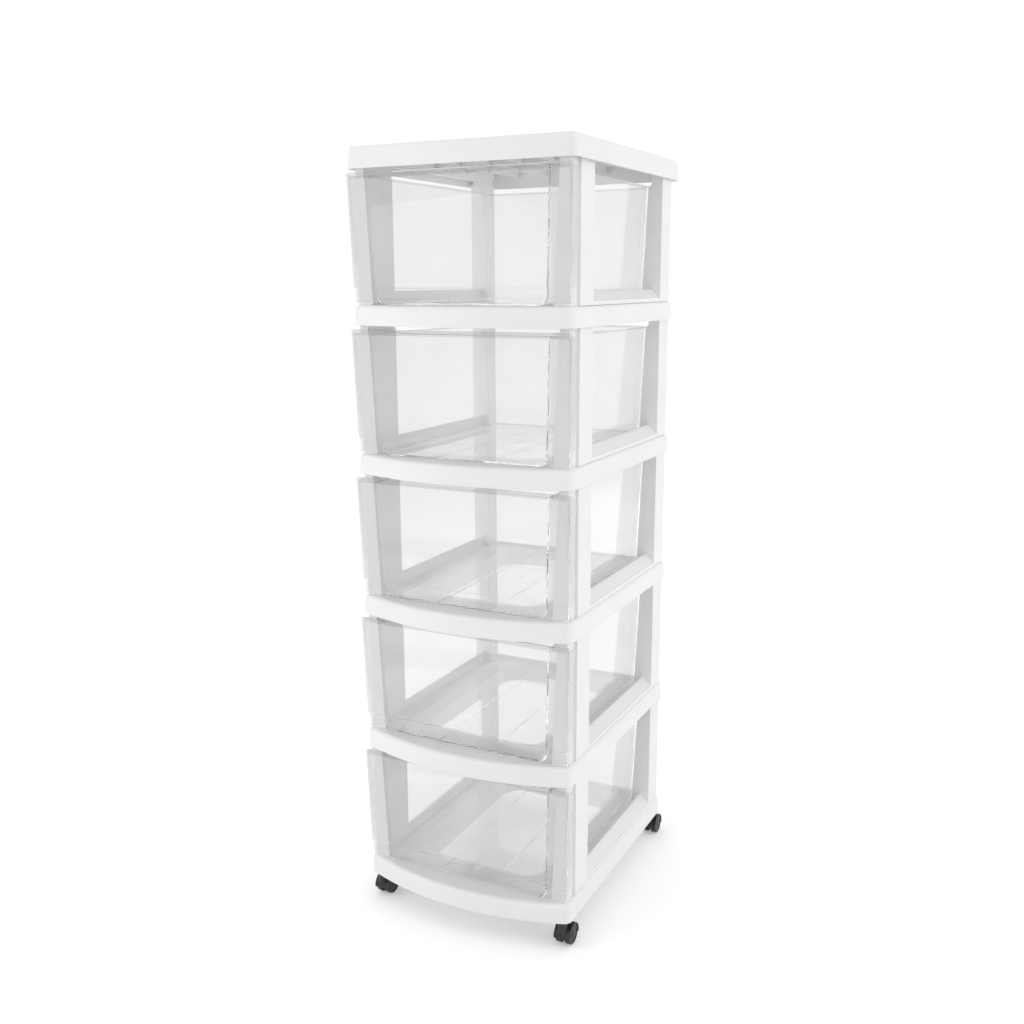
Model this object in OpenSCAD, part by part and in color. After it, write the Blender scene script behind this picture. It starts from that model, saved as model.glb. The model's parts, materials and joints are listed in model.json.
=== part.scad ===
// Plastic drawer tower: five clear drawers in a white frame that snaps together from
// shelves and side panels, on four small twin-wheel casters.
// The tower stands on Z = 0, its front faces -Y, and X = Y = 0 is the middle of its box.

/* [Tower] */
// Number of drawers
drawers = 5; // [2:1:6]
// Width over the lips of the shelves
shelf_w = 290; // [280:2:320]
// Depth of a shelf along its side, from front corner to rear edge
shelf_d = 339; // [330:1:360]
// How far the middle of a shelf's front lip stands ahead of its corners
bow = 25; // [15:1:32]
// Height from one shelf to the next
tier_h = 180; // [180:2:210]
// Height of the lip round a shelf
lip_h = 24; // [22:1:28]
// Wall thickness of the white mouldings
wall = 2.4; // [2:0.1:2.8]
// Radius of the shelves' corners, seen from above
corner_r = 12; // [12:1:16]

/* [Opening in a shelf] */
// Width of the opening
hole_w = 168; // [140:2:180]
// Distance from the shelf's front corner line to the opening
hole_front = 42; // [38:1:60]
// Depth of the opening
hole_d = 257; // [220:1:262]
// Radius of the opening's corners
hole_r = 28; // [15:1:35]

/* [Top cover] */
// Width of the cover over its lower edge
cover_w = 295; // [294:1:326]
// Height of the cover's skirt
cover_h = 25.5; // [24:0.5:30]
// How far the cover reaches behind the shelves
cover_back = 9; // [4:1:10]

/* [Side panels] */
// Thickness of a side panel
panel_t = 15; // [13:0.5:16]
// How far a shelf's lip stands out beyond the side panel
lip_out = 4; // [4:0.5:5]
// Distance from the front corner line to the front post
post_back = 29; // [28:1:34]
// Width of the front post
front_post = 39; // [34:1:42]
// Width of the rear post
rear_post = 41; // [38:1:44]
// Distance from the rear post to the shelf's rear edge
post_rear_gap = 3; // [3:0.5:6]

/* [Drawers] */
// Thickness of the drawers' walls
drawer_t = 2; // [1.6:0.1:2.4]
// Height of a drawer's front
front_h = 149; // [130:1:150]
// Draft of the drawer's walls, in degrees
draft = 2; // [1:0.5:2.5]
// Radius along the drawer's bottom edges
bottom_r = 12; // [8:1:13]

/* [Casters] */
// Height from the floor to the lip of the base
drop = 38; // [38:1:42]
// Diameter of a wheel
wheel_dia = 25; // [22:1:26]
// Distance from the swivel's axis to the wheels' axle
trail = 11; // [9:0.5:11]
// Width over both wheels of a caster
pair_w = 21.4; // [20:0.2:23]
// Diameter of the caster's stem where it sits in the base
stem_dia = 8; // [7:0.5:8.5]

/* [Hidden] */
$fn = 96;
bite = 1;                              // how far joined shapes run into each other
nip = 0.2;                             // the same for a rib under a plate near its edge

// fore and aft: the box runs from the middle of the bowed lip to the rear casters' hoods
hood_r = wheel_dia / 2 + 2.5;
stem_inset = 12;                       // from a shelf's corner lines to the stems
stem_x = shelf_w / 2 - 13;
reach_back = shelf_d - stem_inset + trail + hood_r;
front_y = -(bow + reach_back) / 2;     // middle of the front lip
corner_y = front_y + bow;              // line through the front corners
rear_y = corner_y + shelf_d;           // rear edge of the shelves
stem_front_y = corner_y + stem_inset;
stem_rear_y = rear_y - stem_inset;

// plan of a shelf: straight sides and rear, one large arc across the front
half_w = shelf_w / 2;
bow_half = half_w - 10;                // where the arc meets the corner line
bow_r = (bow_half * bow_half + bow * bow) / (2 * bow);
bow_centre = front_y + bow_r;
corner_x = half_w - corner_r;
corner_dy = sqrt(pow(bow_r - corner_r, 2) - pow(corner_x, 2));
corner_cy = round(1000 * (bow_centre - corner_dy)) / 1000;
bow_angle = asin(corner_x / (bow_r - corner_r));
seam = 0.05;                           // the bow lies this much inside the corners' skin

// lip of a shelf
lip_draft = 1;                         // the skirt leans in by this much
shoulder = 6;                          // rounding between skirt and top
lip_reach = corner_r - 1;              // depth of the swept part of a shelf

// side panels
panel_out = half_w - lip_out;          // outer face of the panels
panel_in = panel_out - panel_t;
front_post_y = corner_y + post_back;
rear_post_y = rear_y - post_rear_gap - rear_post;
post_wall = 2.2;
nose_y = corner_y + 7.8;               // face of the front post's nose, behind the drawers' fronts
tenon_in = 3.4;                        // the posts' tops step in inside the lip above
tenon_w = panel_t - tenon_in;
tenon_back = 4.2;
tenon_z = tier_h + 3;
panel_top = tier_h + lip_h - wall;     // under the plate of the shelf above
peg_l = 16;
peg_w = tenon_w - 2 * post_wall - 1.2;
peg_d = 11;
peg_clear = 0.2;
peg_x = panel_in + tenon_w / 2;
peg_front_y = front_post_y + front_post / 2;
peg_rear_y = rear_post_y + post_wall + 1.5 + peg_l / 2;

// drawers
run_gap = 0.4;                         // between drawer and shelf
front_low = lip_h + 2.4;
front_top = front_low + front_h;
front_y0 = corner_y - 1.1;             // face of a drawer's front at its top edge
front_half = half_w - 1;               // half width of the front at its top edge
front_lean = round(1000 * tan(draft)) / 1000;
side_lean = 0.018;                     // taper of each side of the front, per mm of height
front_edge_y = corner_y + 15.5;        // rear of the edges turned back from the front
floor_z = lip_h + run_gap;
rim_z = front_top - 4;                 // top of the box behind the front
box_top = panel_in - 8;                // half width of the box under its rim
box_back = rear_post_y + 25;           // rear of the box under its rim
box_lean = round(100 * (rim_z - floor_z) * tan(draft)) / 100;
box_corner = box_lean + bottom_r + 1.5;
band_z = front_low + 18.4;             // step across the front
band_step = 1.2;

// casters
axle_z = wheel_dia / 2;
axle_r = 2;
wheel_gap = 5;                         // between the two wheels of a caster
wheel_w = (pair_w - wheel_gap) / 2;
fit = 0.05;                            // radial clearance of the running fits
pin_r = 3.5;                           // stem inside the caster's body
body_top = drop - 0.6;

white = [0.95, 0.95, 0.95];
clear = [0.82, 0.86, 0.88, 0.45];
black = [0.1, 0.1, 0.11];
steel = [0.7, 0.7, 0.72];

levels = [for (k = [1:drawers]) k];
corners = ["front_left", "front_right", "rear_left", "rear_right"];
caster_parts = ["stem", "ring", "body", "axle", "wheel_left", "wheel_right"];

// height of the shelf under drawer k, counted from the top drawer
function shelf_z(k) = drop + (drawers - k) * tier_h;
function on_right(c) = c == "front_right" || c == "rear_right";
function at_front(c) = c == "front_left" || c == "front_right";
// face of a drawer's front and half its width, at height z above the shelf
function face_y(z) = front_y0 + (front_top - z) * front_lean;
function face_half(z) = front_half - (front_top - z) * side_lean;
function stem_at(c) = [on_right(c) ? stem_x : -stem_x, at_front(c) ? stem_front_y : stem_rear_y];

// flat shapes

module round_rect(w, d, r) {
    square([w - 2 * r, d], center = true);
    square([w, d - 2 * r], center = true);
    for (x = [-1, 1], y = [-1, 1])
        translate([x * (w / 2 - r), y * (d / 2 - r)])
            circle(r);
}

module quarter(r) {
    intersection() {
        circle(r);
        square(r);
    }
}

// Section of a skirt that rounds over into a top plate. x = 0 is the outer face at the
// lower edge, and the section reaches inwards to x = -reach.
module skirt_section(h, t, lean, round_r, reach) {
    difference() {
        union() {
            polygon([[-reach, 0], [0, 0], [-lean, h - round_r], [-lean - round_r, h - round_r],
                     [-lean - round_r, h], [-reach, h]]);
            translate([-lean - round_r, h - round_r])
                quarter(round_r);
        }
        polygon([[-reach - 1, -1], [-t, -1], [-lean - t, h - round_r], [-lean - round_r, h - round_r],
                 [-lean - round_r, h - t], [-reach - 1, h - t]]);
        translate([-lean - round_r, h - round_r])
            quarter(round_r - t);
    }
}

// sweeps of a section round the plan

module both_sides() {
    children();
    mirror([1, 0, 0])
        children();
}

// straight sides from y0 to the rear corners, the corners, and the rear
module sweep_rear(hw, r, y0, y1) {
    both_sides() {
        translate([hw, y1 - r, 0])
            rotate([90, 0, 0])
                linear_extrude(y1 - r - y0)
                    children();
        translate([hw - r, y1 - r, 0])
            rotate_extrude(angle = 90)
                translate([r, 0])
                    children();
    }
    translate([r - hw, y1, 0])
        rotate([90, 0, 90])
            linear_extrude(2 * (hw - r))
                children();
}

// the bowed front, run a little way into its two corners
module sweep_bow() {
    half_angle = bow_angle + 0.05;
    translate([0, bow_centre, 0])
        rotate([0, 0, -90 - half_angle])
            rotate_extrude(angle = 2 * half_angle, $fn = 720)
                translate([bow_r, 0])
                    children();
}

// the front corners, tangent to the sides and to the bow
module sweep_front_corners() {
    both_sides()
        translate([corner_x, corner_cy, 0])
            mirror([0, 1, 0])
                rotate_extrude(angle = 90 - bow_angle)
                    translate([corner_r, 0])
                        children();
}

// shelves

module lip_section(thinner = 0) {
    translate([-thinner, 0])
        skirt_section(lip_h - thinner, wall - 2 * thinner, lip_draft, shoulder, lip_reach);
}

// the flat plate inside the swept lip
module shelf_plate_plan() {
    inset = lip_reach - 2;
    intersection() {
        translate([0, bow_centre])
            circle(bow_r - inset, $fn = 720);
        translate([-half_w + inset, front_y])
            square([shelf_w - 2 * inset, rear_y - inset - front_y]);
    }
}

module hole_plan(grow) {
    translate([0, corner_y + hole_front + hole_d / 2])
        round_rect(hole_w + 2 * grow, hole_d + 2 * grow, hole_r + grow);
}

// slots that take the pegs of the side panels above
module peg_slots(z, h) {
    both_sides()
        for (y = [peg_front_y, peg_rear_y])
            translate([peg_x, y, z + h / 2])
                cube([peg_w + 2 * peg_clear, peg_l + 2 * peg_clear, h], center = true);
}

// ribs from the wall round the opening to the front and rear skirt, and sideways to
// a given width
module shelf_ribs(side_out) {
    rib_t = 1.6;
    rib_z = 5;
    rib_h = lip_h - wall - rib_z + nip;
    rib_end = wall + 0.1;              // ribs end inside the skirt's wall
    side_in = hole_w / 2 - 6;
    hole_end = corner_y + hole_front + hole_d;
    both_sides()
        for (y = [-60, 0, 60, 120])
            translate([side_in, y - rib_t / 2, rib_z])
                cube([side_out - side_in, rib_t, rib_h]);
    for (x = [-90, -45, 0, 45, 90]) {
        front_end = bow_centre - sqrt(pow(bow_r - rib_end, 2) - x * x);
        translate([x - rib_t / 2, front_end, rib_z])
            cube([rib_t, corner_y + hole_front + bite - front_end, rib_h]);
        translate([x - rib_t / 2, hole_end - bite, rib_z])
            cube([rib_t, rear_y - rib_end - hole_end + bite, rib_h]);
    }
}

// Rails under a plate that hold the tops of the panels below: one along their inner
// side, one ahead of the front post and one behind the rear post
module panel_rails(z, h) {
    t = 1.8;
    gap = 0.2;
    x0 = panel_in - gap - t;
    y0 = front_post_y - gap;
    y1 = rear_post_y + rear_post - tenon_back + gap;
    both_sides() {
        translate([x0, y0 - t, z - h])
            cube([t, y1 - y0 + 2 * t, h + bite]);
        for (y = [y0 - t, y1])
            translate([x0, y, z - h])
                cube([panel_in + tenon_w - x0, t, h + bite]);
    }
}

// the shelf's moulding, with what a child adds under its plate
module shelf_shell(rib_out) {
    difference() {
        union() {
            sweep_rear(half_w, corner_r, corner_cy, rear_y)
                lip_section();
            sweep_front_corners()
                lip_section();
            sweep_bow()
                lip_section(seam);
            translate([0, 0, lip_h - wall])
                linear_extrude(wall)
                    shelf_plate_plan();
            translate([0, 0, 1])
                linear_extrude(lip_h - 1 - bite)
                    hole_plan(wall);
            shelf_ribs(rib_out);
            children();
        }
        translate([0, 0, -1])
            linear_extrude(lip_h + 2)
                hole_plan(0);
        peg_slots(lip_h - wall - 1, wall + 2);
    }
}

module shelf(k) {
    color(white)
        translate([0, 0, shelf_z(k)])
            shelf_shell(panel_in - 1)
                panel_rails(lip_h - wall, 12);
}

// the lowest shelf, with a boss for each caster's stem
module base() {
    boss_r = stem_dia / 2 + 2.4;
    boss_low = 1;
    color(white)
        translate([0, 0, drop])
            difference() {
                union() {
                    shelf_shell(half_w - wall - 0.1);
                    for (c = corners)
                        translate([stem_at(c)[0], stem_at(c)[1], boss_low])
                            cylinder(r = boss_r, h = lip_h - wall - boss_low + bite);
                }
                for (c = corners)
                    translate([stem_at(c)[0], stem_at(c)[1], boss_low - 1])
                        cylinder(r = stem_dia / 2 + 0.1, h = lip_h - wall - boss_low + 1);
            }
}

// top cover: a straight-sided lid with a leaning skirt

module top_cover() {
    cover_half = cover_w / 2;
    cover_r = 10;
    cover_lean = 2.6;
    cover_round = 4;
    y0 = corner_y - 0.8;
    y1 = rear_y + cover_back;
    mid = (y0 + y1) / 2;
    depth = y1 - y0;
    reach = cover_r - 1;
    color(white)
        translate([0, 0, shelf_z(0)]) {
            translate([0, mid, 0])
                for (m = [0, 1])
                    mirror([0, m, 0])
                        sweep_rear(cover_half, cover_r, 0, depth / 2)
                            skirt_section(cover_h, wall, cover_lean, cover_round, reach);
            translate([0, mid, cover_h - wall / 2])
                cube([cover_w - 2 * reach + 4, depth - 2 * reach + 4, wall], center = true);
            panel_rails(cover_h - wall, 12 + cover_h - lip_h);
            cover_ribs(y0, y1);
            // lands on the tops of the panels
            both_sides()
                translate([panel_in, front_post_y, lip_h - wall])
                    cube([tenon_w, rear_post_y + rear_post - tenon_back - front_post_y,
                          cover_h - lip_h + bite]);
        }
}

module cover_ribs(y0, y1) {
    rib_t = 1.6;
    rib_h = 9;
    rib_end = wall + 1.6;              // ribs end inside the leaning skirt's wall
    z = cover_h - wall - rib_h;
    for (x = [-90, -45, 0, 45, 90])
        translate([x - rib_t / 2, y0 + rib_end, z])
            cube([rib_t, y1 - y0 - 2 * rib_end, rib_h + nip]);
    for (y = [-72, 8, 88])
        translate([1 - panel_in, y - rib_t / 2, z])
            cube([2 * panel_in - 2, rib_t, rib_h + nip]);
}

// side panels, drawn for the right-hand side

// Plan of a post, with its outer rear corner rounded to lie inside the shelf's corner
module post_plan(y, w, t, rear_r) {
    difference() {
        translate([panel_in, y])
            square([t, w]);
        difference() {
            translate([panel_in + t - rear_r, y + w - rear_r])
                square(rear_r + 1);
            translate([panel_in + t - rear_r, y + w - rear_r])
                circle(rear_r);
        }
    }
}

module post(y, w, tenon_d, post_r, tenon_r) {
    core_z = lip_h + 14;
    difference() {
        union() {
            translate([0, 0, lip_h])
                linear_extrude(tenon_z - lip_h)
                    post_plan(y, w, panel_t, post_r);
            translate([0, 0, tenon_z - bite])
                linear_extrude(panel_top - tenon_z + bite)
                    post_plan(y, tenon_d, tenon_w, tenon_r);
        }
        translate([panel_in + post_wall, y + post_wall, core_z])
            cube([panel_t - 2 * post_wall, w - 2 * post_wall, tenon_z - post_wall - core_z]);
        translate([panel_in + post_wall, y + post_wall, core_z])
            cube([tenon_w - 2 * post_wall, tenon_d - 2 * post_wall, panel_top]);
    }
}

// The front post's nose stands inside the turned edges of the drawers' fronts. A fin
// closes most of the gap beside the leaning wall of the box, with a guide behind it.
module post_nose() {
    fin_t = 2;
    pad_top = lip_h + 67;
    pad_out = 4.5;
    core_z = lip_h + 14;
    difference() {
        translate([panel_in, nose_y, lip_h])
            cube([tenon_w, front_post_y - nose_y + bite, tenon_z - lip_h]);
        translate([panel_in + post_wall, nose_y + post_wall, core_z])
            cube([tenon_w - 2 * post_wall, front_post_y - nose_y, tenon_z - post_wall - core_z]);
    }
    translate([0, nose_y + fin_t, 0])
        rotate([90, 0, 0])
            linear_extrude(fin_t)
                polygon([[panel_in + bite, lip_h], [panel_in - 7.5, lip_h], [panel_in - 7.5, lip_h + 2],
                         [panel_in - 1, front_top - 6], [panel_in + bite, front_top - 4]]);
    translate([0, nose_y + 15, 0])
        rotate([90, 0, 0])
            linear_extrude(15)
                polygon([[panel_in + bite, lip_h], [panel_in - pad_out, lip_h],
                         [panel_in - pad_out, pad_top - 4], [panel_in, pad_top],
                         [panel_in + bite, pad_top]]);
}

module side_frame() {
    sill_h = 5;                        // outer edge of the window above the shelf
    guide_h = 16;                      // inner edge, which guides the drawer
    head_h = 14;                       // rail hidden inside the lip above
    span = rear_post_y - front_post_y - front_post;
    post(front_post_y, front_post, front_post, 0.5, 0.5);
    post_nose();
    post(rear_post_y, rear_post, rear_post - tenon_back, 8, 4.6);
    // lower rail: a sill with an upright guide wall along its inner edge
    translate([0, rear_post_y + bite, 0])
        rotate([90, 0, 0])
            linear_extrude(span + 2 * bite)
                polygon([[panel_in, lip_h], [panel_out, lip_h], [panel_out, lip_h + sill_h],
                         [panel_in + 4.5, lip_h + sill_h + 1], [panel_in + 2.4, lip_h + guide_h],
                         [panel_in, lip_h + guide_h]]);
    // upper rail
    translate([panel_in, front_post_y + front_post - bite, panel_top - head_h])
        cube([tenon_w, span + 2 * bite, head_h]);
    // pegs that go through the shelf into the post below
    for (y = [peg_front_y, peg_rear_y])
        translate([peg_x - peg_w / 2, y - peg_l / 2, lip_h - peg_d])
            cube([peg_w, peg_l, peg_d + bite]);
}

module side_panel_right(k) {
    color(white)
        translate([0, 0, shelf_z(k)])
            side_frame();
}

module side_panel_left(k) {
    color(white)
        translate([0, 0, shelf_z(k)])
            mirror([1, 0, 0])
                side_frame();
}

// drawers

// Section of the box's wall: rim, drafted wall, rounded bottom edge. x = 0 is the
// outside of the wall just under the rim.
module drawer_section() {
    t = drawer_t;
    low = floor_z + bottom_r;
    end = box_corner - 0.5;
    difference() {
        union() {
            polygon([[-end, floor_z], [-box_lean - bottom_r, floor_z], [-box_lean - bottom_r, low],
                     [-box_lean, low], [0, rim_z], [-end, rim_z]]);
            translate([-box_lean - bottom_r, low])
                mirror([0, 1])
                    quarter(bottom_r);
            // rim turned outwards
            translate([-1, rim_z - 2])
                square([3.4, 2]);
        }
        polygon([[-end - 1, floor_z + t], [-box_lean - bottom_r, floor_z + t],
                 [-box_lean - bottom_r, low], [-box_lean - t, low], [-t, rim_z],
                 [-t, rim_z + 1], [-end - 1, rim_z + 1]]);
        translate([-box_lean - bottom_r, low])
            mirror([0, 1])
                quarter(bottom_r - t);
    }
}

// Section of the front: rolled rim at the top, a step near the bottom
module front_section() {
    t = drawer_t;
    low_y = face_y(front_low) + band_step;
    step_y = face_y(band_z);
    top_y = face_y(front_top - 4);
    polygon([[step_y, band_z], [step_y + band_step, band_z - band_step], [low_y, front_low],
             [low_y + t, front_low], [step_y + band_step + t, band_z - band_step - 0.5],
             [step_y + t, band_z - 0.5], [top_y + t, front_top - 4.6], [top_y + t + 1, front_top - 4],
             [top_y + t + 1, front_top - 2], [top_y - 0.6, front_top - 2],
             [top_y - 0.6, front_top - 3.6], [top_y, front_top - 4.2]]);
    translate([top_y + (t + 0.4) / 2, front_top - 2])
        intersection() {
            circle((t + 1.6) / 2);
            translate([-t, -1])
                square([2 * t, 4]);
        }
}

// outline of the front, along X and Z
module front_outline() {
    low = face_half(front_low) - band_step;
    step = face_half(band_z);
    top = face_half(front_top);
    polygon([[-low, front_low], [low, front_low], [step - band_step, band_z - band_step],
             [step, band_z], [top, front_top], [-top, front_top], [-step, band_z],
             [band_step - step, band_z - band_step]]);
}

// outline of one of its edges that turn back
module edge_outline() {
    t = 1.6;
    low = face_half(front_low) - band_step;
    step = face_half(band_z);
    top = face_half(front_top);
    polygon([[low, front_low], [step - band_step, band_z - band_step], [step, band_z],
             [top, front_top], [top - t, front_top], [step - t, band_z],
             [step - t - band_step, band_z - band_step], [low - t, front_low]]);
}

module drawer_front() {
    edge_top = front_top - 4;
    intersection() {
        translate([-front_half, 0, 0])
            rotate([90, 0, 90])
                linear_extrude(2 * front_half)
                    front_section();
        translate([0, front_edge_y, 0])
            rotate([90, 0, 0])
                linear_extrude(30)
                    front_outline();
    }
    both_sides()
        intersection() {
            translate([0, front_edge_y, 0])
                rotate([90, 0, 0])
                    linear_extrude(30)
                        edge_outline();
            rotate([90, 0, 90])
                linear_extrude(front_half + 1)
                    behind_face(0.4, front_edge_y + 1, edge_top);
        }
}

// the space behind a drawer's face, along Y and Z, back to y1 and up to a given height
module behind_face(inset, y1, top) {
    y0 = front_y0 + inset;
    polygon([[face_y(top) + inset, top], [face_y(band_z) + inset, band_z],
             [face_y(band_z) + inset + band_step, band_z - band_step],
             [face_y(front_low) + inset + band_step, front_low],
             [face_y(floor_z) + inset + band_step, floor_z - 1], [y1, floor_z - 1], [y1, top]]);
}

// the box behind the front, cut off along the leaning face
module drawer_box() {
    floor_half = box_top - box_corner + 1.5;
    floor_back = box_back - box_corner + 1.5;
    rib_x = 35.5;
    intersection() {
        union() {
            sweep_rear(box_top, box_corner, front_y0, box_back)
                drawer_section();
            translate([-floor_half, front_y0, floor_z])
                cube([2 * floor_half, floor_back - front_y0, drawer_t]);
            // two fine ribs along the floor
            for (x = [-rib_x, rib_x])
                translate([x - 0.6, front_y0, floor_z + drawer_t - bite])
                    cube([1.2, floor_back - front_y0 - 4, bite + 1.2]);
        }
        translate([-box_top - 5, 0, 0])
            rotate([90, 0, 90])
                linear_extrude(2 * box_top + 10)
                    behind_face(1, box_back + 5, rim_z + 1);
    }
}

module drawer(k) {
    gate_y = (front_y0 + box_back) / 2;
    color(clear)
        translate([0, 0, shelf_z(k)])
            difference() {
                union() {
                    drawer_front();
                    drawer_box();
                    // moulding gate
                    translate([0, gate_y, floor_z + drawer_t - bite])
                        cylinder(r = 5, h = bite + 0.6);
                }
                translate([0, gate_y, floor_z + drawer_t - 0.4])
                    cylinder(r = 1.6, h = 2);
            }
}

// casters

module at_stem(c) {
    translate([stem_at(c)[0], stem_at(c)[1], 0])
        children();
}

// steel stem: chamfered top, groove for the ring, collar under the boss
module caster_stem(c) {
    r = stem_dia / 2;
    top = drop + 19;
    color(steel)
        at_stem(c)
            rotate_extrude()
                polygon([[0, body_top - 12.6], [pin_r - 0.6, body_top - 12.6], [pin_r, body_top - 12],
                         [pin_r, body_top + 0.3], [r + 1.8, body_top + 0.3], [r + 1.8, drop + 1],
                         [r, drop + 1], [r, drop + 9], [r - 0.8, drop + 9], [r - 0.8, drop + 10.6],
                         [r, drop + 10.6], [r, top - 1.2], [r - 1.4, top], [0, top]]);
}

// sprung ring that grips the boss
module caster_ring(c) {
    r = stem_dia / 2;
    color(steel)
        at_stem(c)
            translate([0, 0, drop + 9.2])
                rotate([0, 0, 15])
                    rotate_extrude(angle = 330)
                        translate([r - 0.7, 0])
                            square([0.8, 1.2]);
}

// Hooded body: a socket for the stem, a web between the wheels, and a hood over them
module caster_body(c) {
    hub_r = 4.4;
    side = pair_w / 2;
    color(black)
        at_stem(c)
            difference() {
                union() {
                    translate([0, 0, body_top - 17])
                        cylinder(r = pin_r + 2.7, h = 17);
                    hood(side);
                    translate([-wheel_gap / 2 + 0.5, 0, 0])
                        rotate([90, 0, 90])
                            linear_extrude(wheel_gap - 1)
                                web_plan(hub_r);
                }
                // room for each wheel
                for (s = [-1, 1])
                    translate([s * (wheel_gap / 2 - 0.5 + side / 2), trail, axle_z])
                        rotate([0, 90, 0])
                            cylinder(r = wheel_dia / 2 + 0.8, h = side, center = true);
                // bore for the stem, and the axle's hole
                translate([0, 0, body_top - 13])
                    cylinder(r = pin_r + fit, h = 14);
                translate([0, trail, axle_z])
                    rotate([0, 90, 0])
                        cylinder(r = axle_r, h = wheel_gap + 2, center = true);
            }
}

// half ring over both wheels, open at its ends
module hood(side) {
    t = hood_r - wheel_dia / 2 - 0.8;
    translate([0, trail, axle_z])
        rotate([0, 0, 90])
            rotate([90, 0, 0])
                translate([0, 0, -side])
                    rotate([0, 0, -12])
                        rotate_extrude(angle = 196)
                            translate([hood_r - t, 0])
                                square([t, 2 * side]);
}

// outline of the web, along Y and Z
module web_plan(hub_r) {
    translate([trail, axle_z])
        circle(hub_r);
    intersection() {
        translate([trail, axle_z])
            circle(hood_r - 0.4);
        polygon([[-4, axle_z + 2], [trail - hub_r, axle_z - 1], [trail, axle_z], [trail + hood_r, axle_z],
                 [trail + hood_r, axle_z + hood_r], [-4, axle_z + hood_r]]);
    }
}

module caster_axle(c) {
    color(steel)
        at_stem(c)
            translate([0, trail, axle_z])
                rotate([0, 90, 0])
                    cylinder(r = axle_r, h = pair_w - 4, center = true);
}

// One wheel, turned about X: crowned tread, dished outer face, hollow inner side
module wheel_shape() {
    r = wheel_dia / 2;
    w = wheel_w;
    soft = 2.2;
    rotate([0, 90, 0])
        rotate_extrude()
            difference() {
                union() {
                    square([r - soft, w]);
                    translate([0, 0.8])
                        square([r, w - soft - 0.8]);
                    square([r - 0.8, 1]);
                    translate([r - soft, w - soft])
                        circle(soft);
                }
                // bore for the axle, blind at the outer face
                translate([-1, -1])
                    square([axle_r + fit + 1, w - 2 + 1 + 0.2]);
                // hollow between hub and tread
                translate([axle_r + 2.2, -1])
                    square([r - axle_r - 4.4, w - 2.2]);
                // dish in the outer face
                translate([4.2, w - 0.7])
                    square([r - 4.2 - soft - 0.8, 2]);
            }
}

module caster_wheel(c, s) {
    color(black)
        at_stem(c)
            translate([0, trail, axle_z])
                mirror([s < 0 ? 1 : 0, 0, 0])
                    translate([wheel_gap / 2, 0, 0])
                        wheel_shape();
}

top_cover();
base();
for (k = [1:drawers - 1]) shelf(k);
for (k = levels) side_panel_left(k);
for (k = levels) side_panel_right(k);
for (k = levels) drawer(k);
for (c = corners) caster_stem(c);
for (c = corners) caster_ring(c);
for (c = corners) caster_body(c);
for (c = corners) caster_axle(c);
for (c = corners) caster_wheel(c, -1);
for (c = corners) caster_wheel(c, 1);
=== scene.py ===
import json
import math
import bmesh
import bpy
from mathutils import Matrix, Vector


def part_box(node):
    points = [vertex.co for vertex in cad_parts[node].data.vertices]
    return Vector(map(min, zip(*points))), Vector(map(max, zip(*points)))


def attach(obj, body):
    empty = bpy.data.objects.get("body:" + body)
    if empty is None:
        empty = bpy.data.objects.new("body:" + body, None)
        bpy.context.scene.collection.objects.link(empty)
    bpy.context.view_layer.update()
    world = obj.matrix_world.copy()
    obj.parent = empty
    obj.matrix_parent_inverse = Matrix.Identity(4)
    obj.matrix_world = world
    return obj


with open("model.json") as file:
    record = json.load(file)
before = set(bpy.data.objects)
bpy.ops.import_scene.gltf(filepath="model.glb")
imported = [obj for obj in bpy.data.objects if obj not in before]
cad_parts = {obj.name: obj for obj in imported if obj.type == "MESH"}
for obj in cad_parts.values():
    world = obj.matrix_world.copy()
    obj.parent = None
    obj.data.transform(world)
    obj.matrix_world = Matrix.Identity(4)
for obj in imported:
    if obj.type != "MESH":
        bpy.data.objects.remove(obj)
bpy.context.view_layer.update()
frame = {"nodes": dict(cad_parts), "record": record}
nodes = frame["nodes"]
print("frame loaded,", len(nodes), "nodes")

# the photograph's viewpoint, angles in radians
viewpoint = {
    "place": (0.62524, -1.26398, 0.80898),
    "turn": 0.467338,       # to the left
    "tilt": 0.208502,       # down
    "roll": -0.004227,
    "lens": 38.34,
    "sensor": 36,           # width, both in millimetres
    "nearest": 0.01,
    "furthest": 60,
}


def makeCamera(v):
    data = bpy.data.cameras.new("camera")
    data.lens = v["lens"]
    data.sensor_width = v["sensor"]
    data.clip_start, data.clip_end = v["nearest"], v["furthest"]
    camera = bpy.data.objects.new("camera", data)
    bpy.context.scene.collection.objects.link(camera)
    turn, tilt, roll = v["turn"], v["tilt"], v["roll"]
    forward = Vector((-math.sin(turn) * math.cos(tilt), math.cos(turn) * math.cos(tilt), -math.sin(tilt)))
    right = Vector((math.cos(turn), math.sin(turn), 0))
    up = right.cross(forward)
    sideways = math.cos(roll) * right + math.sin(roll) * up
    upward = math.cos(roll) * up - math.sin(roll) * right
    turned = Matrix((sideways, upward, -forward)).transposed().to_4x4()
    camera.matrix_world = Matrix.Translation(v["place"]) @ turned
    bpy.context.scene.camera = camera


makeCamera(viewpoint)


def newMaterial(name):
    mat = bpy.data.materials.new(name)
    mat.use_nodes = True
    tree = mat.node_tree
    return mat, tree, tree.nodes["Principled BSDF"]


# adds a node, links the inputs that come as sockets and sets the others
def add(tree, kind, inputs=None, **settings):
    node = tree.nodes.new(kind)
    for k, v in settings.items():
        setattr(node, k, v)
    for k, v in (inputs or {}).items():
        if isinstance(v, bpy.types.NodeSocket):
            tree.links.new(v, node.inputs[k])
        else:
            node.inputs[k].default_value = v
    return node


def stretched(tree, size):
    place = add(tree, "ShaderNodeTexCoord").outputs["Object"]
    return add(tree, "ShaderNodeMapping", {"Vector": place, "Scale": size}).outputs["Vector"]


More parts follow.
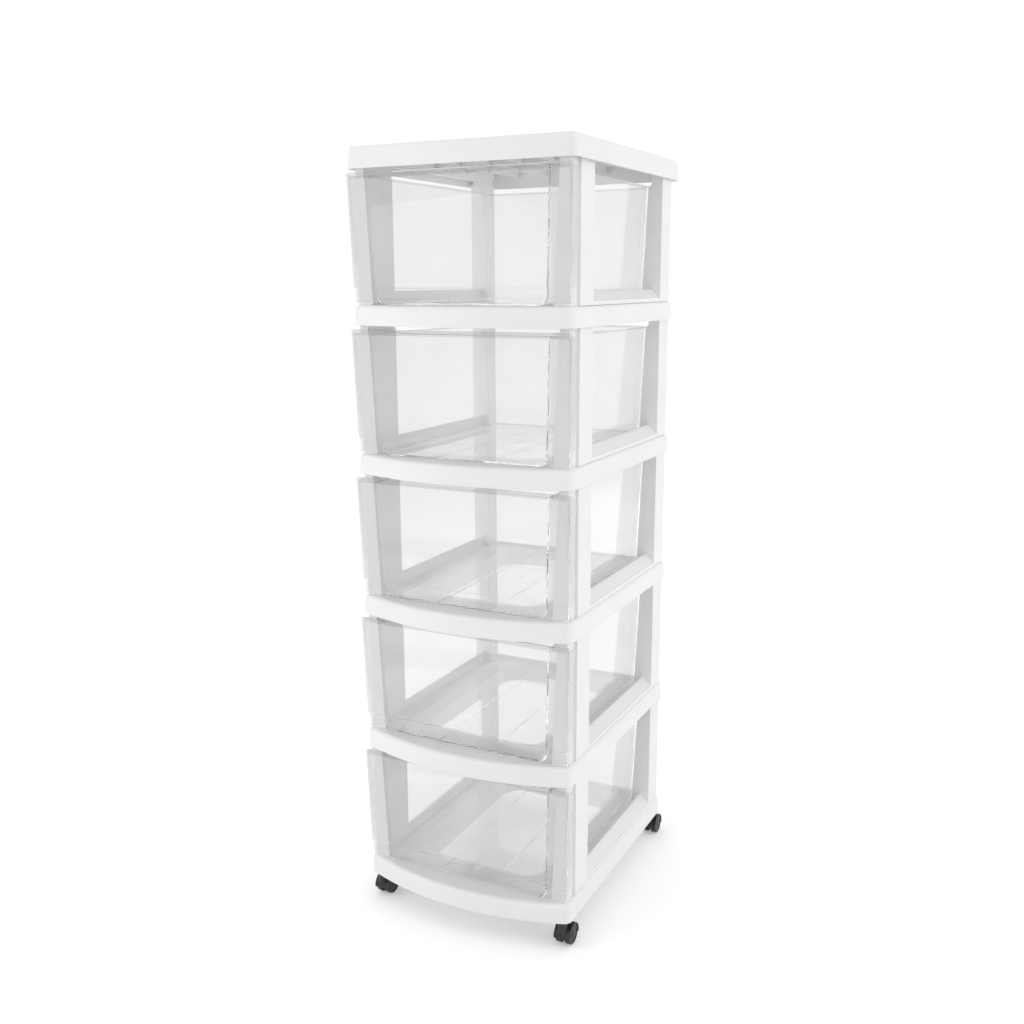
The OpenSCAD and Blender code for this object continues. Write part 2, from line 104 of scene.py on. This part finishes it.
def noise(tree, size, detail=3.0, rough=0.5):
    place = stretched(tree, size)
    return add(tree, "ShaderNodeTexNoise", {"Vector": place, "Scale": 1.0, "Detail": detail,
                                            "Roughness": rough}).outputs["Fac"]


def spread(tree, value, low, high, fromLow=0.3, fromHigh=0.7):
    return add(tree, "ShaderNodeMapRange", {"Value": value, "From Min": fromLow, "From Max": fromHigh,
                                            "To Min": low, "To Max": high}).outputs["Result"]


def sums(tree, operation, a, b):
    return add(tree, "ShaderNodeMath", {0: a, 1: b}, operation=operation).outputs[0]


def blendColours(tree, amount, a, b):
    mix = add(tree, "ShaderNodeMix", {0: amount}, data_type="RGBA")
    for i, colour in ((6, a), (7, b)):
        if isinstance(colour, bpy.types.NodeSocket):
            tree.links.new(colour, mix.inputs[i])
        else:
            mix.inputs[i].default_value = (*colour, 1)
    return mix.outputs[2]


def bump(tree, height, strength, distance, below=None):
    relief = {"Height": height, "Strength": strength, "Distance": distance}
    if below:
        relief["Normal"] = below
    return add(tree, "ShaderNodeBump", relief).outputs["Normal"]


# 1 on faces that look up, where drawers slide and dust lies
def facesUp(tree):
    normal = add(tree, "ShaderNodeTexCoord").outputs["Normal"]
    height = add(tree, "ShaderNodeSeparateXYZ", {0: normal}).outputs["Z"]
    return spread(tree, height, 0, 1, 0.8, 0.98)


whitePlastic = {
    "colour": (0.865, 0.865, 0.863),
    "flowColour": (0.835, 0.837, 0.84),     # faint patches where the melt cooled first
    "dust": (0.74, 0.735, 0.725),
    "gloss": (0.30, 0.42),
    "scuffed": 0.16,                        # how much rougher the slide marks are
    "grain": (0.12, 0.00003),               # strength, depth
    "slideDepth": (0.1, 0.00005),
    "soften": 0.0006,                       # radius that catches light along sharp edges
    "flowSize": (9, 9, 22),                 # patterns, in repeats to the metre
    "dustSize": (160, 160, 160),
    "slideSize": (420, 7, 420),             # long from front to back, as the drawers run
    "sheenSize": (60, 60, 60),
    "grainSize": (900, 900, 900),
    "refraction": 1.49,
}


def whiteMoulding(v):
    mat, tree, shader = newMaterial("whitePlastic")
    up = facesUp(tree)
    flow = spread(tree, noise(tree, v["flowSize"], 2.0), 0, 1)
    body = blendColours(tree, flow, v["colour"], v["flowColour"])
    specks = spread(tree, noise(tree, v["dustSize"], 5.0, 0.7), 0, 0.35, 0.52, 0.75)
    settled = sums(tree, "MULTIPLY", specks, up)
    tree.links.new(blendColours(tree, settled, body, v["dust"]), shader.inputs["Base Color"])
    marks = spread(tree, noise(tree, v["slideSize"], 3.0), 0, v["scuffed"], 0.5, 0.72)
    slide = sums(tree, "MULTIPLY", marks, up)
    sheen = spread(tree, noise(tree, v["sheenSize"], 4.0, 0.6), *v["gloss"])
    tree.links.new(sums(tree, "ADD", sheen, slide), shader.inputs["Roughness"])
    rounded = add(tree, "ShaderNodeBevel", {"Radius": v["soften"]}, samples=4).outputs["Normal"]
    grained = bump(tree, noise(tree, v["grainSize"], 2.0), *v["grain"], rounded)
    tree.links.new(bump(tree, slide, *v["slideDepth"], grained), shader.inputs["Normal"])
    shader.inputs["IOR"].default_value = v["refraction"]
    return mat


# from one shelf to the next, and the height of the lowest, which is the base
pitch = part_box("shelf_3")[0].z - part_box("shelf_4")[0].z
tiers = {"pitch": pitch, "lowest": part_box("shelf_4")[0].z - pitch}

clearPlastic = {
    "tint": (0.95, 0.952, 0.953),
    "cloud": (0.925, 0.928, 0.93),          # greyer patches
    "marginShade": (0.90, 0.903, 0.905),         # the front beside the box, painted darker: painted shade of the posts seen through it
    "marginFrom": (0.1175, 0.1195),         # where it starts and is full
    "edge": (0.76, 0.77, 0.78),             # turned edges and rim, painted darker: painted shade for the dark lines that refraction draws where a wall is seen through its whole width
    "edgeFrom": 0.1405,                     # out from the middle line
    "rimFrom": 0.1685,                      # up from the tier's shelf
    "frontFrom": -0.147,                    # what lies before this is the drawer's front
    "haze": 0.07,                           # share of the light that scatters in the wall
    "bend": 1.10,                           # real styrene has 1.59, but from 1.22 up the walls show ragged lines
    "gloss": (0.015, 0.06),
    "skin": (1.0, 1.5, 0.03),               # strength, refraction and roughness of the outer gloss
    "coreWaves": (0.25, 0.0004),            # strength, depth; on the inner side only
    "skinWaves": (0.12, 0.0003),
    "middle": (0, 0, 1.05),                 # point that inner sides look towards, over the top drawer
    "cloudSize": (9, 9, 13),
    "scuffSize": (30, 30, 70),
    "streakSize": (75, 75, 7),
    "waveSize": (16, 16, 16),
    "wallLight": (0.985, 0.985, 0.985),     # what one face lets through of the lamps' light
    "frontLight": (0.915, 0.918, 0.92),
    "deepest": 4.5,                         # bounces after which light caught in a wall goes straight on
}


# 1 on the faces that look away from the middle, 0 on those that look at it
def outerSide(tree, middle):
    place = add(tree, "ShaderNodeTexCoord")
    away = add(tree, "ShaderNodeVectorMath", {0: place.outputs["Object"], 1: middle}, operation="SUBTRACT")
    facing = add(tree, "ShaderNodeVectorMath", {0: away.outputs[0], 1: place.outputs["Normal"]},
                 operation="DOT_PRODUCT").outputs["Value"]
    return sums(tree, "GREATER_THAN", facing, 0.0)


def clearStyrene(v):
    mat, tree, shader = newMaterial("clearPlastic")
    place = add(tree, "ShaderNodeTexCoord").outputs["Object"]
    across, along, height = add(tree, "ShaderNodeSeparateXYZ", {0: place}).outputs
    across = sums(tree, "ABSOLUTE", across, 0.0)
    onFront = sums(tree, "LESS_THAN", along, v["frontFrom"])
    beside = spread(tree, across, 0, 1, *v["marginFrom"])
    inTier = sums(tree, "MODULO", sums(tree, "SUBTRACT", height, tiers["lowest"]), tiers["pitch"])
    # painted shade: turned edges and the rim get a darker tint in place of the dark lines of refraction
    edged = sums(tree, "MAXIMUM", sums(tree, "GREATER_THAN", across, v["edgeFrom"]),
                 sums(tree, "GREATER_THAN", inTier, v["rimFrom"]))
    cloud = spread(tree, noise(tree, v["cloudSize"], 2.5, 0.55), 0, 1, 0.42, 0.68)
    wall = blendColours(tree, cloud, v["tint"], v["cloud"])
    # painted shade: the front's margins beside the box are tinted darker where the shaded posts show through
    wall = blendColours(tree, sums(tree, "MULTIPLY", onFront, beside), wall, v["marginShade"])
    tree.links.new(blendColours(tree, edged, wall, v["edge"]), shader.inputs["Base Color"])
    shader.inputs["Transmission Weight"].default_value = 1.0 - v["haze"]
    shader.inputs["IOR"].default_value = v["bend"]
    for socket, value in zip(("Coat Weight", "Coat IOR", "Coat Roughness"), v["skin"]):
        shader.inputs[socket].default_value = value
    scuffs = noise(tree, v["scuffSize"], 5.0, 0.68)
    tree.links.new(spread(tree, scuffs, *v["gloss"], 0.4, 0.75), shader.inputs["Roughness"])
    inner = sums(tree, "SUBTRACT", 1.0, outerSide(tree, v["middle"]))
    # the melt ran up the walls, which leaves upright streaks on the side of the core
    streaks = noise(tree, v["streakSize"], 2.5, 0.55)
    cored = bump(tree, sums(tree, "MULTIPLY", streaks, inner), *v["coreWaves"])
    waved = bump(tree, noise(tree, v["waveSize"], 2.0), *v["skinWaves"], cored)
    tree.links.new(waved, shader.inputs["Normal"])
    # the lamps' light goes straight through, and so does what a wall has caught
    path = add(tree, "ShaderNodeLightPath").outputs
    passes = sums(tree, "MAXIMUM", path["Is Shadow Ray"], path["Is Diffuse Ray"])
    passes = sums(tree, "MAXIMUM", passes, sums(tree, "GREATER_THAN", path["Ray Depth"], v["deepest"]))
    let = blendColours(tree, onFront, v["wallLight"], v["frontLight"])
    straight = add(tree, "ShaderNodeBsdfTransparent", {"Color": let})
    both = add(tree, "ShaderNodeMixShader", {0: passes, 1: shader.outputs[0], 2: straight.outputs[0]})
    tree.links.new(both.outputs[0], tree.nodes["Material Output"].inputs["Surface"])
    return mat


blackPlastic = {
    "colour": (0.011, 0.011, 0.012),
    "dust": (0.045, 0.044, 0.042),
    "gloss": (0.36, 0.56),
    "soften": 0.0005,
    "dustSize": (140, 140, 140),
    "grainSize": (1800, 1800, 1800),
    "grain": (0.3, 0.0001),
}


def blackNylon(v):
    mat, tree, shader = newMaterial("blackPlastic")
    dust = spread(tree, noise(tree, v["dustSize"], 4.0, 0.6), 0, 1, 0.5, 0.8)
    tree.links.new(blendColours(tree, dust, v["colour"], v["dust"]), shader.inputs["Base Color"])
    tree.links.new(spread(tree, dust, *v["gloss"], 0, 1), shader.inputs["Roughness"])
    rounded = add(tree, "ShaderNodeBevel", {"Radius": v["soften"]}, samples=4).outputs["Normal"]
    grained = bump(tree, noise(tree, v["grainSize"], 2.0), *v["grain"], rounded)
    tree.links.new(grained, shader.inputs["Normal"])
    return mat


steelPin = {
    "colour": (0.62, 0.62, 0.64),
    "gloss": (0.22, 0.36),
    "lineSize": (260, 260, 3600),
    "lineDepth": (0.2, 0.00005),
}


def drawnSteel(v):
    mat, tree, shader = newMaterial("steel")
    lines = noise(tree, v["lineSize"], 3.0)
    shader.inputs["Base Color"].default_value = (*v["colour"], 1)
    shader.inputs["Metallic"].default_value = 1.0
    tree.links.new(spread(tree, lines, *v["gloss"]), shader.inputs["Roughness"])
    tree.links.new(bump(tree, lines, *v["lineDepth"]), shader.inputs["Normal"])
    return mat


finishes = {
    "white_plastic": whiteMoulding(whitePlastic),
    "clear_plastic": clearStyrene(clearPlastic),
    "black_plastic": blackNylon(blackPlastic),
    "steel": drawnSteel(steelPin),
}
slots = {s["node"]: s["material_slot"] for s in frame["record"]["subparts"]}
for name, obj in nodes.items():
    if not obj.material_slots:
        obj.data.materials.append(None)
    for slot in obj.material_slots:
        slot.material = finishes[slots[name]]
print("materials set on", len(slots), "nodes")

# fin in front of each rear post, which leans with the drawer's wall, and the slope of the sill
windowLiner = {
    "finBack": (0.131, 0.133),              # from, to along the tower's depth
    "finFoot": 0.1149,                      # inner edge at the shelf
    "finHead": 0.1217,                      # and at the rim of the drawer
    "rimHeight": 0.1695,
    "finTop": 0.1735,                       # where it meets the post again
    "postFace": 0.1262,
    "sill": ((0.1409, 0.0291), (0.1283, 0.0401), (0.1283, 0.0296)),     # corners, out and up
    "sillSpan": (-0.0975, 0.1315),
    "shelfTop": 0.0239,
    "round": 0.0006,
    "pegReach": 0.013,                      # a panel's pegs start this far above their shelf's underside
}


# closed solid between two copies of an outline, given in width and height
def prism(mesh, outline, back, side, lift):
    rings = [[mesh.verts.new((side * x, y, z + lift)) for x, z in outline] for y in back]
    faces = [rings[0][::-1], rings[1]]
    faces += [(rings[0][i - 1], rings[0][i], rings[1][i], rings[1][i - 1]) for i in range(len(outline))]
    for corners in faces:
        mesh.faces.new(corners)


def lineWindow(v, side, name):
    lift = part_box(name)[0].z - v["pegReach"]
    mesh = bmesh.new()
    fin = [(v["postFace"], v["shelfTop"]), (v["finFoot"], v["shelfTop"]),
           (v["finHead"], v["rimHeight"]), (v["postFace"], v["finTop"])]
    prism(mesh, fin, v["finBack"], side, lift)
    prism(mesh, v["sill"], v["sillSpan"], side, lift)
    bmesh.ops.recalc_face_normals(mesh, faces=mesh.faces)
    bmesh.ops.bevel(mesh, geom=mesh.edges[:], offset=v["round"], segments=2, affect="EDGES", profile=0.5)
    data = bpy.data.meshes.new("liner_" + name)
    mesh.to_mesh(data)
    mesh.free()
    liner = bpy.data.objects.new("liner_" + name, data)
    bpy.context.scene.collection.objects.link(liner)
    data.materials.append(finishes["white_plastic"])
    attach(liner, "frame")


for name in sorted(slots):
    if name.startswith("side_panel_"):
        lineWindow(windowLiner, 1 if "right" in name else -1, name)
print("window liners made")

studio = {
    "floorRadius": 4.0,
    "floorSides": 96,
    "floorColour": (0.90, 0.90, 0.90),
    "floorFinish": (0.9, 0.1),      # roughness, shine
    "floorLift": 0.26,      # only in what the camera, gloss and clear plastic see
    "sky": 0.81,            # light from all round
    "lamps": {              # power, width and height, place, aim
        "left": (4.8, (0.7, 1.6), (-0.95, -0.95, 0.6), (0, -0.1, 0.5)),
        "right": (8.5, (1.0, 1.7), (2.1, 0.0, 0.75), (0, 0, 0.5)),
        "overhead": (3.5, (1.8, 1.8), (0.3, -1.0, 3.0), (0, 0, 0.4)),
        "back": (7.0, (1.4, 1.0), (0.3, 2.6, 0.6), (0, 0, 0.8)),
    },
}


def seenPlainly(tree):
    path = add(tree, "ShaderNodeLightPath").outputs
    mirrored = sums(tree, "MAXIMUM", path["Is Glossy Ray"], path["Is Transmission Ray"])
    return sums(tree, "MAXIMUM", path["Is Camera Ray"], mirrored)


def whiteSurround(v):
    world = bpy.data.worlds.new("studio")
    bpy.context.scene.world = world
    world.use_nodes = True
    tree = world.node_tree
    back = tree.nodes["Background"]
    back.inputs["Color"].default_value = (1, 1, 1, 1)
    tree.links.new(spread(tree, seenPlainly(tree), v["sky"], 1, 0, 1), back.inputs["Strength"])


def makeFloor(v):
    mesh = bpy.data.meshes.new("floor")
    radius, sides = v["floorRadius"], v["floorSides"]
    turns = [math.tau * step / sides for step in range(sides)]
    rim = [(radius * math.cos(t), radius * math.sin(t), 0) for t in turns]
    mesh.from_pydata(rim, [], [list(range(sides))])
    floor = bpy.data.objects.new("floor", mesh)
    bpy.context.scene.collection.objects.link(floor)
    mat, tree, shader = newMaterial("paleFloor")
    shader.inputs["Base Color"].default_value = (*v["floorColour"], 1)
    shader.inputs["Roughness"].default_value, shader.inputs["Specular IOR Level"].default_value = v["floorFinish"]
    lift = sums(tree, "MULTIPLY", seenPlainly(tree), v["floorLift"])
    glow = add(tree, "ShaderNodeEmission", {"Strength": lift})
    both = add(tree, "ShaderNodeAddShader", {0: shader.outputs[0], 1: glow.outputs[0]})
    tree.links.new(both.outputs[0], tree.nodes["Material Output"].inputs["Surface"])
    mesh.materials.append(mat)


def softLamp(name, power, size, place, aim):
    data = bpy.data.lights.new(name, "AREA")
    data.energy = power
    data.shape = "RECTANGLE"
    data.size, data.size_y = size
    lamp = bpy.data.objects.new(name, data)
    lamp.location = place
    lamp.rotation_euler = (Vector(aim) - Vector(place)).to_track_quat("-Z", "Y").to_euler()
    bpy.context.scene.collection.objects.link(lamp)
    lamp.visible_camera = lamp.visible_glossy = lamp.visible_transmission = False


whiteSurround(studio)
makeFloor(studio)
for lampName, settings in studio["lamps"].items():
    softLamp(lampName, *settings)
bpy.context.scene.view_settings.view_transform = "Standard"
print("studio ready")
